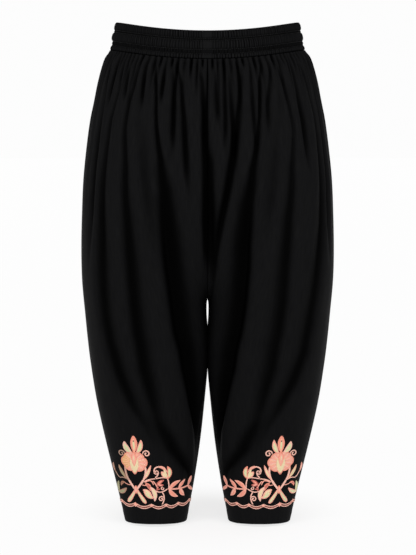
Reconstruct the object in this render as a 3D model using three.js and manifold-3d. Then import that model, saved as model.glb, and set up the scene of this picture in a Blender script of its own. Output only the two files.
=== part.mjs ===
// Embroidered harem trousers, worn and filled out, with nobody in them.
//
// A gathered pull-on pair: one elastic waistband, four leg panels (front and back, left and right,
// sewn at the rise, the inseams and the side seams) and an embroidered border above each hem.
// Millimetres, +Z up. The origin is where the waist holds the band: the middle of the waistband's
// opening, half way up the band at the sides. The front looks along -Y, and +X is the wearer's left.
import * as THREE from "three";
import { mergeVertices } from "three/addons/utils/BufferGeometryUtils.js";
import Module from "manifold-3d";

const solids = await Module();
solids.setup();

// Driving sizes
const CLOTH = 2; // wall of a leg panel
const SEAM_GAP = 0.3; // between two pieces along a seam
const BAND_HEIGHT = 49; // waistband, folded over its elastic
const BAND_WALL = 2.6; // waistband wall in the stitched channels
const FRONT_DIP = 20; // how far the band's front centre hangs below its sides
const BACK_DIP = 12;
const DIP_ENDS = -260; // level where the dip of the waist has faded out of the cloth
const RISE_STARTS = -150; // level where the two legs begin to part
const CROTCH = -476; // bottom of the rise seam
const HEM = -887; // hem, level all round
const PANEL_GATHERS = 21; // gathers in the waist seam of one panel
const GATHER_DEPTH = 4.6; // deepest point of an average gather
const GATHER_PEAK = 20; // distance below the seam where a gather is deepest

// The garment's outline, one row for each level: half width over both legs, inner edge of a leg,
// depth to the front and depth to the back.
const SECTIONS = [
  { level: 30, side: 164.6, inner: 0.15, front: 113, back: 119 },
  { level: 1, side: 171.2, inner: 0.15, front: 115, back: 121 },
  { level: -24, side: 175.8, inner: 0.15, front: 117, back: 124 },
  { level: -42, side: 185.9, inner: 0.15, front: 124, back: 132 },
  { level: -78, side: 196.9, inner: 0.15, front: 132, back: 143 },
  { level: -114, side: 204.4, inner: 0.15, front: 138, back: 152 },
  { level: -150, side: 211.9, inner: 0.15, front: 143, back: 159 },
  { level: -204, side: 219.6, inner: 0.15, front: 149, back: 167 },
  { level: -258, side: 225.5, inner: 0.15, front: 153, back: 171 },
  { level: -313, side: 228.3, inner: 0.15, front: 155, back: 172 },
  { level: -386, side: 230.2, inner: 0.15, front: 153, back: 167 },
  { level: -441, side: 229.3, inner: 0.15, front: 147, back: 158 },
  { level: -500, side: 224.3, inner: 1.2, front: 134, back: 143 },
  { level: -545, side: 220.0, inner: 0.4, front: 124, back: 131 },
  { level: -592, side: 214.6, inner: 0.8, front: 114, back: 119 },
  { level: -663, side: 203.8, inner: 8.3, front: 100, back: 103 },
  { level: -738, side: 187.7, inner: 15.7, front: 86, back: 88 },
  { level: -814, side: 169.7, inner: 26.9, front: 71, back: 72 },
  { level: -887, side: 153.0, inner: 39.6, front: 57, back: 57.5 },
];

// Long folds. Place is a share of half the way round: 0 front centre, 0.5 a side seam, 1 back centre,
// positive on the wearer's left. A fold runs from one place at its top level to another at its end level,
// and has grown wider there.
const FOLDS = [
  { name: "front centre", at: 0, to: 0, top: -40, end: -330, depth: 6, wide: 0.013, grown: 0.02 },
  { name: "deep inner left", at: 0.147, to: 0.122, top: -42, end: -830, depth: 20, wide: 0.02, grown: 0.036 },
  { name: "deep inner right", at: -0.149, to: -0.122, top: -42, end: -830, depth: 20, wide: 0.02, grown: 0.036 },
  { name: "long mid left", at: 0.235, to: 0.272, top: -200, end: -870, depth: 8, wide: 0.022, grown: 0.03 },
  { name: "long mid right", at: -0.225, to: -0.27, top: -180, end: -870, depth: 8, wide: 0.022, grown: 0.032 },
  { name: "outer left", at: 0.31, to: 0.368, top: -50, end: -850, depth: 10, wide: 0.018, grown: 0.03 },
  { name: "outer right", at: -0.32, to: -0.368, top: -50, end: -850, depth: 10, wide: 0.018, grown: 0.03 },
  { name: "short V left", at: 0.04, to: 0.026, top: -100, end: -380, depth: 8, wide: 0.014, grown: 0.018 },
  { name: "second V left", at: 0.078, to: 0.06, top: -42, end: -330, depth: 7, wide: 0.014, grown: 0.02 },
  { name: "short right", at: -0.07, to: -0.075, top: -42, end: -320, depth: 7, wide: 0.015, grown: 0.022 },
  { name: "upper right", at: -0.22, to: -0.215, top: -36, end: -260, depth: 6, wide: 0.014, grown: 0.02 },
  { name: "curved right", at: -0.268, to: -0.285, top: -36, end: -350, depth: 7, wide: 0.015, grown: 0.022 },
  { name: "side right", at: -0.372, to: -0.36, top: -36, end: -260, depth: 6, wide: 0.015, grown: 0.022 },
  { name: "side left", at: 0.385, to: 0.405, top: -42, end: -420, depth: 7, wide: 0.016, grown: 0.024 },
  { name: "upper left", at: 0.216, to: 0.222, top: -36, end: -330, depth: 6, wide: 0.014, grown: 0.022 },
  { name: "curved left", at: 0.268, to: 0.262, top: -36, end: -290, depth: 7, wide: 0.015, grown: 0.022 },
  { name: "back centre", at: 1, to: 1, top: -40, end: -330, depth: 6, wide: 0.013, grown: 0.02 },
  { name: "back deep left", at: 0.858, to: 0.88, top: -42, end: -820, depth: 19, wide: 0.02, grown: 0.036 },
  { name: "back deep right", at: -0.853, to: -0.878, top: -42, end: -840, depth: 20, wide: 0.02, grown: 0.036 },
  { name: "back mid left", at: 0.762, to: 0.735, top: -170, end: -870, depth: 8, wide: 0.022, grown: 0.03 },
  { name: "back mid right", at: -0.77, to: -0.73, top: -190, end: -870, depth: 8, wide: 0.022, grown: 0.03 },
  { name: "back outer left", at: 0.68, to: 0.63, top: -50, end: -850, depth: 10, wide: 0.018, grown: 0.03 },
  { name: "back outer right", at: -0.685, to: -0.635, top: -50, end: -840, depth: 10, wide: 0.018, grown: 0.03 },
  { name: "back short left", at: 0.925, to: 0.92, top: -42, end: -320, depth: 7, wide: 0.014, grown: 0.02 },
  { name: "back short right", at: -0.93, to: -0.925, top: -42, end: -290, depth: 6, wide: 0.014, grown: 0.02 },
  { name: "back side left", at: 0.61, to: 0.6, top: -42, end: -330, depth: 7, wide: 0.015, grown: 0.022 },
  { name: "back side right", at: -0.615, to: -0.6, top: -42, end: -390, depth: 7, wide: 0.015, grown: 0.022 },
];
// The long folds that the lower columns of a panel follow, and the columns in each span between them:
// one on a fold's line, one on each flank, and more towards the seams.
const GUIDES = { front: ["deep inner", "long mid", "outer"], back: ["back deep", "back mid", "back outer"] };
const SPANS = [3, 1, 1, 2, 1, 1, 2, 1, 1, 3];

const clamp = (x, low, high) => Math.min(high, Math.max(low, x));
const mix = (a, b, share) => a + (b - a) * share;
const smooth = (x) => {
  const s = clamp(x, 0, 1);
  return s * s * (3 - 2 * s);
};

// The outline at a level: a cubic through the rows of SECTIONS, its slope at a row taken from the neighbours.
function outlineAt(level) {
  const last = SECTIONS.length - 1;
  let i = 0;
  while (i < last - 1 && SECTIONS[i + 1].level > level) i++;
  const [a, b] = [SECTIONS[i], SECTIONS[i + 1]];
  const before = SECTIONS[Math.max(i - 1, 0)];
  const after = SECTIONS[Math.min(i + 2, last)];
  const span = b.level - a.level;
  const s = clamp((level - a.level) / span, 0, 1);
  const column = (key) => {
    const slopeA = ((b[key] - before[key]) / (b.level - before.level)) * span;
    const slopeB = ((after[key] - a[key]) / (after.level - a.level)) * span;
    return (
      a[key] * (2 * s ** 3 - 3 * s ** 2 + 1) +
      slopeA * (s ** 3 - 2 * s ** 2 + s) +
      b[key] * (3 * s ** 2 - 2 * s ** 3) +
      slopeB * (s ** 3 - s ** 2)
    );
  };
  return { side: column("side"), inner: column("inner"), front: column("front"), back: column("back") };
}

// How far the waist's dip lowers the cloth at a place round the body.
function dipAt(t) {
  return (t < 0.5 ? FRONT_DIP : BACK_DIP) * Math.cos(Math.PI * t) ** 2;
}

// A point of the smooth form, before any fold, for the left half: t runs from the front centre (0) round
// the side seam (0.5) to the back centre (1). High up, the two halves are one oval; below the crotch each
// is a closed oval leg; between, the rise seam sinks towards the crotch along a quarter ellipse.
function smoothPoint(t, level) {
  const { side, inner, front, back } = outlineAt(level);
  const depth = t < 0.5 ? front : back;
  const fall = (RISE_STARTS - level) / (RISE_STARTS - CROTCH);
  const seamShare = 1 - Math.sqrt(1 - clamp(fall, 0, 1) ** 2);
  const bodyShare = smooth((fall - 0.2) / 1.1);
  const nearSeam = Math.exp(-((t / 0.06) ** 2)) + Math.exp(-(((1 - t) / 0.06) ** 2));
  const leg = mix(bodyShare, seamShare, nearSeam);
  const middle = (side + inner) / 2;
  const hipX = side * Math.sin(Math.PI * t);
  const hipY = -depth * Math.cos(Math.PI * t);
  const legX = middle - (side - inner) * 0.5 * Math.cos(2 * Math.PI * t);
  const legY = -depth * Math.sin(2 * Math.PI * t);
  return new THREE.Vector3(mix(hipX, legX, leg), mix(hipY, legY, leg), level);
}

// The direction out of the smooth form, from its slopes round and down.
function outward(t, level) {
  const [dt, dz] = [0.002, 0.5];
  const round = smoothPoint(Math.min(t + dt, 1), level).sub(smoothPoint(Math.max(t - dt, 0), level));
  const up = smoothPoint(t, level + dz).sub(smoothPoint(t, level - dz));
  return round.cross(up).normalize();
}

// Gathers: valleys at whole numbers of a phase whose pitch wanders, each with its own depth and length.
function gatherPhase(t) {
  return 2 * PANEL_GATHERS * t + 0.35 * Math.sin(19 * t) + 0.16 * Math.sin(47 * t);
}
function placeOfPhase(phase) {
  let [low, high] = [0, 1];
  for (let i = 0; i < 30; i++) {
    const middle = (low + high) / 2;
    if (gatherPhase(middle) < phase) low = middle;
    else high = middle;
  }
  return (low + high) / 2;
}
function gatherDepth(t, below) {
  const phase = gatherPhase(t);
  const count = Math.round(phase);
  const share = 0.75 + 0.25 * Math.sin(2.4 * count + 0.6);
  const reach = 1 + 0.6 * Math.sin(3.7 * count + 1.1);
  const along = below / (GATHER_PEAK * reach);
  const swell = 0.3 * Math.exp(-along) + along * Math.exp(1 - along);
  return GATHER_DEPTH * share * swell * (0.5 + 0.5 * Math.cos(2 * Math.PI * phase));
}

// How far the cloth lies inside the smooth form at a place round the body, in gathers and long folds.
function foldDepth(sign, t, level) {
  const place = sign * t;
  const below = Math.max(0, -BAND_HEIGHT / 2 - level);
  let depth = gatherDepth(t, below);
  for (const fold of FOLDS) {
    const along = clamp((fold.top - level) / (fold.top - fold.end), 0, 1);
    const centre = mix(fold.at, fold.to, along);
    const away = ((((place - centre + 1) % 2) + 2) % 2) - 1;
    const wide = mix(fold.wide, fold.grown, along);
    const strength = smooth((fold.top - level) / 60) * smooth((1 - along) / 0.45);
    depth += fold.depth * strength * Math.exp(-((away / wide) ** 2));
  }
  return depth;
}

// Where the rise seam has sunk between the legs, the cloth beside it lies flat against the other leg's.
function seamCalm(t, level) {
  const sunk = smooth((RISE_STARTS - level) / 120);
  return mix(1, smooth(Math.min(t, 1 - t) / 0.035), sunk);
}

// A point on the cloth, mirrored to the right half where sign is -1. Lift moves it off the cloth's face.
function clothPoint(sign, t, level, lift) {
  const row = level - dipAt(t) * smooth((level - DIP_ENDS) / (-BAND_HEIGHT / 2 - DIP_ENDS));
  const point = smoothPoint(t, level);
  point.addScaledVector(outward(t, level), lift - foldDepth(sign, t, level) * seamCalm(t, level));
  point.z += row - level;
  point.x = Math.max(point.x, SEAM_GAP / 2);
  point.x *= sign;
  return point;
}

// Rows of points become one skin: neighbouring rows may have different numbers of columns, and the
// triangles zip along both, always taking the nearer next column.
function zip(faces, upper, lower) {
  let [i, j] = [0, 0];
  while (i < upper.length - 1 || j < lower.length - 1) {
    const nextUpper = i < upper.length - 1 ? upper[i + 1].t : Infinity;
    const nextLower = j < lower.length - 1 ? lower[j + 1].t : Infinity;
    if (nextUpper <= nextLower) {
      faces.push([upper[i].index, lower[j].index, upper[i + 1].index]);
      i++;
    } else {
      faces.push([upper[i].index, lower[j].index, lower[j + 1].index]);
      j++;
    }
  }
}

// A closed geometry from points and triangles, turned inside out where its volume says so.
function closedGeometry(points, faces) {
  let volume = 0;
  for (const [a, b, c] of faces) volume += points[a].dot(points[b].clone().cross(points[c]));
  const index = volume < 0 ? faces.map(([a, b, c]) => [a, c, b]) : faces;
  const geometry = new THREE.BufferGeometry().setFromPoints(points);
  geometry.setIndex(index.flat());
  geometry.computeVertexNormals();
  return geometry;
}

// The columns of a row: four to a gather near the waist, two further down, and below those a set that
// follows the panel's three long folds.
function columnsAt(sign, half, from, to, level) {
  const columns = [from];
  const perGather = level > -110 ? 4 : level > -300 ? 2 : 0;
  if (perGather > 0) {
    const first = Math.floor(gatherPhase(from) * perGather) + 1;
    const last = gatherPhase(to) * perGather;
    for (let n = first; n < last; n++) columns.push(placeOfPhase(n / perGather));
    if (columns.length > 1 && to - columns.at(-1) < 0.002) columns.pop();
    return [...columns, to];
  }
  const side = sign > 0 ? "left" : "right";
  const stops = GUIDES[half === 0 ? "front" : "back"].flatMap((name) => {
    const fold = FOLDS.find((row) => row.name === `${name} ${side}`);
    const along = clamp((fold.top - level) / (fold.top - fold.end), 0, 1);
    const centre = Math.abs(mix(fold.at, fold.to, along));
    const flank = 1.2 * mix(fold.wide, fold.grown, along);
    return [centre - flank, centre, centre + flank];
  });
  const places = [from, ...stops.sort((a, b) => a - b), to];
  SPANS.forEach((count, n) => {
    for (let m = 1; m <= count; m++) columns.push(mix(places[n], places[n + 1], m / count));
  });
  return columns;
}

// Half a seam's gap at a place round a leg, as a share of the way round.
function halfGap(t, level) {
  const [before, after] = [Math.max(t - 0.01, 0), Math.min(t + 0.01, 1)];
  const reach = smoothPoint(after, level).distanceTo(smoothPoint(before, level));
  return (SEAM_GAP / 2) * ((after - before) / reach);
}

const PANEL_LEVELS = [
  -BAND_HEIGHT / 2 - SEAM_GAP / 2, -40, -66, -104, -145, -200, -268, -335, -390, -432, -462,
  CROTCH, -505, -550, -610, -675, -740, -810, HEM,
];

// One leg panel as a closed wall: sign is 1 for the wearer's left, half is 0 for the front and 1 for the back.
function legPanel(sign, half) {
  const points = [];
  const skins = [0, -CLOTH].map((lift) =>
    PANEL_LEVELS.map((level) => {
      const inseam = level <= CROTCH ? halfGap(half, level) : 0;
      const sideSeam = halfGap(0.5, level);
      const from = half === 0 ? inseam : 0.5 + sideSeam;
      const to = half === 0 ? 0.5 - sideSeam : 1 - inseam;
      return columnsAt(sign, half, from, to, level).map((t) => {
        points.push(clothPoint(sign, t, level, lift));
        return { t, index: points.length - 1 };
      });
    }),
  );
  const faces = [];
  const [outer, inner] = skins;
  for (let row = 0; row < PANEL_LEVELS.length - 1; row++) {
    zip(faces, outer[row], outer[row + 1]);
    const inside = [];
    zip(inside, inner[row], inner[row + 1]);
    faces.push(...inside.map(([a, b, c]) => [a, c, b]));
    for (const end of [0, -1]) {
      const [a, b] = [outer[row].at(end).index, outer[row + 1].at(end).index];
      const [d, c] = [inner[row].at(end).index, inner[row + 1].at(end).index];
      faces.push(...(end === 0 ? [[a, d, b], [b, d, c]] : [[a, b, d], [b, c, d]]));
    }
  }
  for (const [row, turned] of [[0, false], [PANEL_LEVELS.length - 1, true]]) {
    for (let n = 0; n < outer[row].length - 1; n++) {
      const [a, b] = [outer[row][n].index, outer[row][n + 1].index];
      const [d, c] = [inner[row][n].index, inner[row][n + 1].index];
      faces.push(...(turned ? [[a, d, b], [b, d, c]] : [[a, b, d], [b, c, d]]));
    }
  }
  return closedGeometry(points, faces);
}

// The waistband's face: how far it stands proud at each share of its height, with two stitched channels
// between three puffed rolls.
const BAND_PROFILE = [
  { height: 0, proud: 0.4 },
  { height: 0.07, proud: 2.0 },
  { height: 0.18, proud: 2.0 },
  { height: 0.25, proud: 0.2 },
  { height: 0.4, proud: 0.2 },
  { height: 0.47, proud: 2.4 },
  { height: 0.64, proud: 2.4 },
  { height: 0.7, proud: 0.2 },
  { height: 0.83, proud: 0.2 },
  { height: 0.89, proud: 1.6 },
  { height: 0.96, proud: 1.6 },
  { height: 1, proud: 0.2 },
];
const BAND_COLUMNS = 52;

// The waistband as one closed ring, lofted round the waist from its profile.
function waistband() {
  const bottom = -BAND_HEIGHT / 2 + SEAM_GAP / 2;
  const top = BAND_HEIGHT / 2;
  const inside = [1, 0.5, 0].map((height) => ({ height, proud: -BAND_WALL }));
  const profile = [...BAND_PROFILE, ...inside];
  const points = [];
  for (let n = 0; n < BAND_COLUMNS; n++) {
    const round = (2 * n) / BAND_COLUMNS;
    const sign = round <= 1 ? 1 : -1;
    const t = round <= 1 ? round : 2 - round;
    for (const { height, proud } of profile) {
      const level = mix(bottom, top, height);
      const point = smoothPoint(t, level).addScaledVector(outward(t, level).setZ(0).normalize(), proud);
      point.z = level - dipAt(t);
      point.x = n % (BAND_COLUMNS / 2) === 0 ? 0 : point.x * sign;
      points.push(point);
    }
  }
  const faces = [];
  const around = profile.length;
  for (let n = 0; n < BAND_COLUMNS; n++) {
    const next = (n + 1) % BAND_COLUMNS;
    for (let m = 0; m < around; m++) {
      const up = (m + 1) % around;
      const [a, b, c, d] = [n * around + m, next * around + m, next * around + up, n * around + up];
      faces.push([a, b, c], [a, c, d]);
    }
  }
  return closedGeometry(points, faces);
}

// The embroidery of one leg, seen from the front: across is the distance from the middle of the leg
// towards the inseam, level the height, and each stroke bends from one end to the other. A flower stands
// on two crossed stems, with a bud and a leafy vine on its inner side and a smaller spray on its outer side.
const STROKES = [
  { name: "flower body", shape: "round", wide: 48, from: [-32, -743], bend: [-32, -766], to: [-32.5, -790] },
  { name: "top petal", shape: "leaf", wide: 14.5, from: [-32, -757], bend: [-30, -735], to: [-30, -711] },
  { name: "outer petal", shape: "leaf", wide: 11.5, from: [-36, -757], bend: [-52, -741], to: [-49, -726] },
  { name: "inner petal", shape: "leaf", wide: 11.5, from: [-27, -757], bend: [-14, -739], to: [-14, -718] },
  { name: "outer curl", shape: "leaf", wide: 6, from: [-44, -751], bend: [-62, -740], to: [-60, -757] },
  { name: "inner curl", shape: "leaf", wide: 6, from: [-20, -750], bend: [-3, -735], to: [-2.5, -753] },
  { name: "outer stem", shape: "stem", wide: 5, from: [-50, -778], bend: [-53, -797], to: [-31, -818] },
  { name: "inner stem", shape: "stem", wide: 5, from: [-15, -774], bend: [-11, -795], to: [-36, -818] },
  { name: "outer foot", shape: "leaf", wide: 10, from: [-32, -808], bend: [-35, -826], to: [-49.5, -844] },
  { name: "inner foot", shape: "leaf", wide: 10, from: [-35, -808], bend: [-28, -826], to: [-14.5, -842] },
  { name: "outer long leaf", shape: "leaf", wide: 7.5, from: [-44, -803], bend: [-60, -791], to: [-63, -775] },
  { name: "inner long leaf", shape: "leaf", wide: 7.5, from: [-19, -801], bend: [-5, -785], to: [0, -765] },
  { name: "branch", shape: "stem", wide: 3.5, from: [-19, -797], bend: [-8, -790], to: [7, -791] },
  { name: "arch", shape: "stem", wide: 3.5, from: [-13, -793], bend: [2, -793], to: [-2, -813] },
  { name: "scroll stem", shape: "stem", wide: 3.5, from: [8, -791], bend: [5, -787], to: [5, -781] },
  { name: "scroll rise", shape: "stem", wide: 4.5, from: [5, -783], bend: [3, -769], to: [16, -769] },
  { name: "scroll fall", shape: "stem", wide: 4.5, from: [15, -769], bend: [25, -771], to: [27, -783] },
  { name: "scroll branch", shape: "stem", wide: 3.5, from: [5, -791], bend: [17, -787], to: [27, -794] },
  { name: "scroll outer petal", shape: "leaf", wide: 9, from: [26, -797], bend: [38, -783], to: [29, -769] },
  { name: "scroll inner petal", shape: "leaf", wide: 8, from: [29, -796], bend: [23, -790], to: [16, -780] },
  { name: "scroll foot", shape: "stem", wide: 3.5, from: [27, -793], bend: [31, -803], to: [29, -815] },
  { name: "vine", shape: "stem", wide: 4.5, from: [24, -813], bend: [42, -817], to: [66, -818] },
  { name: "first upper leaf", shape: "leaf", wide: 9, from: [29, -816], bend: [35, -802], to: [50, -801] },
  { name: "second upper leaf", shape: "leaf", wide: 7.5, from: [46, -817], bend: [49, -807], to: [59, -803] },
  { name: "first lower leaf", shape: "leaf", wide: 9, from: [29, -813], bend: [31, -829], to: [44, -834] },
  { name: "second lower leaf", shape: "leaf", wide: 8.5, from: [50, -815], bend: [46, -828], to: [55, -837] },
  { name: "end leaf", shape: "leaf", wide: 6, from: [58, -819], bend: [66, -817], to: [69, -808] },
  { name: "arc under the scroll", shape: "stem", wide: 3.5, from: [1, -812], bend: [14, -824], to: [28, -813] },
  { name: "vine curl stem", shape: "stem", wide: 3.5, from: [16, -818], bend: [25, -829], to: [17, -840] },
  { name: "vine curl", shape: "leaf", wide: 7, from: [22, -827], bend: [8, -828], to: [14, -839] },
  { name: "bud outer petal", shape: "leaf", wide: 12, from: [2, -831], bend: [-11, -827], to: [-19, -813] },
  { name: "bud inner petal", shape: "leaf", wide: 11, from: [-4, -806], bend: [11, -822], to: [2, -838] },
  { name: "outer branch", shape: "stem", wide: 3.5, from: [-46, -802], bend: [-63, -797], to: [-65, -817] },
  { name: "outer bud back", shape: "leaf", wide: 7, from: [-65, -812], bend: [-65, -828], to: [-62, -839] },
  { name: "outer bud front", shape: "leaf", wide: 9, from: [-63, -838], bend: [-56, -827], to: [-48, -818] },
];
const STITCH_LIFT = 0.75; // underside of the stitching above the cloth's face
const STITCH_PILE = 0.9; // thickness of the stitching
// Lines across which the flat drawing bends round the leg, about nine degrees apart.
const BENDS = [
  -75.1, -66.1, -61.1, -55.1, -47.1, -38.1, -28.1, -18.1, -7.1, 4.1, 15.1, 26.1, 36.1, 46.1, 54.1, 60.1, 65.1, 75.1,
];
const DRAWING_DETAIL = 0.55; // the drawing's outline is simplified by no more than about this
const CORD_LEVEL = -844.5; // where two scallops of the border meet
const CORD_SAG = 5.5;
const CORD_WIDE = 5.5;
const SCALLOPS = 14; // round one leg
const FIRST_CUSP = 0.057; // place of a cusp round the leg

// A point over the cloth of one leg, found from its distance across the leg as seen from the front or back.
function legPoint(sign, half, across, level, lift) {
  const { side, inner } = outlineAt(level);
  const t = Math.acos(clamp((2 * across) / (side - inner), -0.98, 0.98)) / (2 * Math.PI);
  return clothPoint(sign, half === 0 ? t : 1 - t, level, lift);
}

// Half width of a stroke at shares of its length, as shares of its widest.
const STROKE_OUTLINES = {
  leaf: [[0, 0.15], [0.33, 0.92], [0.62, 0.92], [1, 0.1]],
  round: [[0, 0.2], [0.1, 0.62], [0.28, 0.93], [0.48, 1], [0.68, 0.86], [0.88, 0.45], [1, 0.08]],
  stem: [[0, 1], [0.33, 1], [0.67, 1], [1, 1]],
};

// The flat outline of one stroke, down one side of its bend and back up the other.
function strokeOutline({ shape, wide, from, bend, to }) {
  const rails = STROKE_OUTLINES[shape].map(([s, share]) => {
    const [x, y] = [0, 1].map((k) => (1 - s) ** 2 * from[k] + 2 * s * (1 - s) * bend[k] + s ** 2 * to[k]);
    const run = [0, 1].map((k) => (1 - s) * (bend[k] - from[k]) + s * (to[k] - bend[k]));
    const off = (share * wide) / 2 / Math.hypot(...run);
    return [-off, off].map((side) => new THREE.Vector2(x + run[1] * side, y - run[0] * side));
  });
  return [...rails.map((rail) => rail[0]), ...rails.map((rail) => rail[1]).reverse()];
}

// A closed geometry as a solid that can be joined and cut.
function solidOf(geometry) {
  geometry.deleteAttribute("normal");
  geometry.deleteAttribute("uv");
  const { attributes, index } = mergeVertices(geometry, 0.0001);
  const [vertProperties, triVerts] = [attributes.position.array, new Uint32Array(index.array)];
  return new solids.Manifold(new solids.Mesh({ numProp: 3, vertProperties, triVerts }));
}

// A flat outline, with its holes, as a slab one unit thick.
function slabOf(outline, holes = []) {
  const shape = new THREE.Shape(outline);
  shape.holes = holes.map((hole) => new THREE.Path(hole));
  return solidOf(new THREE.ExtrudeGeometry(shape, { depth: 1, bevelEnabled: false }));
}

// The edges that only one triangle uses, in that triangle's direction.
function rimOf(faces) {
  const edges = new Set(faces.flatMap(([a, b, c]) => [`${a} ${b}`, `${b} ${c}`, `${c} ${a}`]));
  return [...edges].map((edge) => edge.split(" ").map(Number)).filter(([a, b]) => !edges.has(`${b} ${a}`));
}

// The corners and triangles of a slab's top.
function topOf(slab) {
  const { vertProperties, triVerts } = slab.getMesh();
  const corners = [];
  for (let n = 0; n < vertProperties.length; n += 3) {
    corners.push(new THREE.Vector3(...vertProperties.slice(n, n + 3)));
  }
  const faces = [];
  for (let n = 0; n < triVerts.length; n += 3) faces.push([...triVerts.slice(n, n + 3)]);
  return { corners, faces: faces.filter((face) => face.every((corner) => corners[corner].z > 0.5)) };
}

// The loops round a slab's top: its outline and its holes.
function loopsOf(slab) {
  const { corners, faces } = topOf(slab);
  const next = new Map(rimOf(faces));
  const loops = [];
  while (next.size > 0) {
    const loop = [];
    let corner = next.keys().next().value;
    while (next.has(corner)) {
      loop.push(new THREE.Vector2(corners[corner].x, corners[corner].y));
      const following = next.get(corner);
      next.delete(corner);
      corner = following;
    }
    loops.push(loop);
  }
  return loops;
}

// A loop without the points that lie close to the line between their neighbours.
function thinned(loop) {
  const kept = [...loop];
  const offLine = (n) => {
    const along = kept[(n + 1) % kept.length].clone().sub(kept.at(n - 1));
    return Math.abs(along.cross(kept[n].clone().sub(kept.at(n - 1)))) / along.length();
  };
  while (kept.length > 4) {
    const offs = kept.map((_, n) => offLine(n));
    const least = Math.min(...offs);
    if (least > DRAWING_DETAIL) break;
    kept.splice(offs.indexOf(least), 1);
  }
  return kept;
}

// A triangle split wherever an edge of it that runs along a bend passes a corner of the next strip.
function splitAtCorners(face, flat) {
  const onSameBend = (a, b) => Math.abs(flat[a].x - flat[b].x) < 0.01;
  const turn = [0, 1, 2].find((n) => onSameBend(face[n], face[(n + 1) % 3]));
  if (turn === undefined) return [face];
  const [a, b, c] = [0, 1, 2].map((n) => face[(turn + n) % 3]);
  const low = Math.min(flat[a].y, flat[b].y);
  const high = Math.max(flat[a].y, flat[b].y);
  const between = [...flat.keys()].filter((n) => onSameBend(a, n) && flat[n].y > low && flat[n].y < high);
  between.sort((m, n) => Math.abs(flat[m].y - flat[a].y) - Math.abs(flat[n].y - flat[a].y));
  const stops = [a, ...between, b];
  return stops.slice(1).map((stop, n) => [stops[n], stop, c]);
}

// The drawing of one motif in the flat: all strokes joined, simplified, and cut into strips at the bends.
// Neighbouring strips share the corners on the bend between them.
function flatDrawing() {
  const loops = loopsOf(STROKES.map((stroke) => slabOf(strokeOutline(stroke))).reduce((a, b) => a.add(b)));
  const kept = loops.map(thinned);
  const holes = kept.filter((loop) => THREE.ShapeUtils.area(loop) < 0);
  const drawing = slabOf(kept.find((loop) => THREE.ShapeUtils.area(loop) > 0), holes);
  const flat = [];
  const lid = [];
  const found = new Map();
  for (let n = 1; n < BENDS.length; n++) {
    const wide = BENDS[n] - BENDS[n - 1];
    const strip = new THREE.BoxGeometry(wide, 400, 4).translate(BENDS[n] - wide / 2, -800, 0);
    const { corners, faces } = topOf(drawing.intersect(solidOf(strip)));
    const places = corners.map((corner) => {
      const key = `${corner.x.toFixed(1)} ${corner.y.toFixed(1)}`;
      if (!found.has(key)) found.set(key, flat.push(corner) - 1);
      return found.get(key);
    });
    lid.push(...faces.map((face) => face.map((corner) => places[corner])));
  }
  const whole = lid.filter((face) => THREE.ShapeUtils.area(face.map((corner) => flat[corner])) > 0.001);
  return { flat, lid: whole.flatMap((face) => splitAtCorners(face, flat)) };
}
const { flat, lid } = flatDrawing();

// The motif of one leg's front or back as one closed pad: the drawing is laid over the cloth, and walls
// close it along its rim.
function flower(sign, half) {
  const under = flat.length;
  const points = [STITCH_LIFT + STITCH_PILE, STITCH_LIFT].flatMap((lift) =>
    flat.map(({ x, y }) => legPoint(sign, half, x, y, lift)),
  );
  const faces = [
    ...lid,
    ...lid.map(([a, b, c]) => [a + under, c + under, b + under]),
    ...rimOf(lid).flatMap(([a, b]) => [[a, a + under, b + under], [a, b + under, b]]),
  ];
  return closedGeometry(points, faces);
}

// The scalloped border cord: a closed ring of three-sided section that lies on the cloth round one leg.
function hemCord(sign) {
  const points = [];
  const faces = [];
  const columns = SCALLOPS * 4;
  for (let n = 0; n < columns; n++) {
    const t = (n / columns + FIRST_CUSP) % 1;
    const level = CORD_LEVEL - CORD_SAG * Math.abs(Math.sin((Math.PI * n) / 4));
    points.push(clothPoint(sign, t, level + CORD_WIDE / 2, STITCH_LIFT));
    points.push(clothPoint(sign, t, level, STITCH_LIFT + 1.5));
    points.push(clothPoint(sign, t, level - CORD_WIDE / 2, STITCH_LIFT));
    const next = (n + 1) % columns;
    for (let m = 0; m < 3; m++) {
      const [a, b, c, d] = [n * 3 + m, next * 3 + m, next * 3 + ((m + 1) % 3), n * 3 + ((m + 1) % 3)];
      faces.push([a, b, c], [a, c, d]);
    }
  }
  return closedGeometry(points, faces);
}

const blackCloth = { color: 0x0c0c0d, roughness: 0.85, metalness: 0 };
const coralThread = { color: 0xe8886e, roughness: 0.55, metalness: 0 };
const trousers = new THREE.Group();

function add(name, geometry, material) {
  const mesh = new THREE.Mesh(geometry, new THREE.MeshStandardMaterial(material));
  mesh.name = name;
  trousers.add(mesh);
}

add("waistband", waistband(), blackCloth);
for (const [side, sign] of [["left", 1], ["right", -1]]) {
  add(`front_${side}`, legPanel(sign, 0), blackCloth);
  add(`back_${side}`, legPanel(sign, 1), blackCloth);
  add(`flower_front_${side}`, flower(sign, 0), coralThread);
  add(`flower_back_${side}`, flower(sign, 1), coralThread);
  add(`hem_cord_${side}`, hemCord(sign), coralThread);
}

export default trousers;
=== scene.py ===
# %% [markdown]
# # Embroidered harem trousers
#
# Gathered pull-on trousers in black cloth, shown as they look when worn, with a ruched elastic waist and
# an embroidered border above each hem. The CAD frame gives the size and the place of every piece. Here
# each plain solid is covered by a finer surface made with numpy: a grid of points worked out from a
# formula, then handed to Blender whole.

from collections import namedtuple

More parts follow.
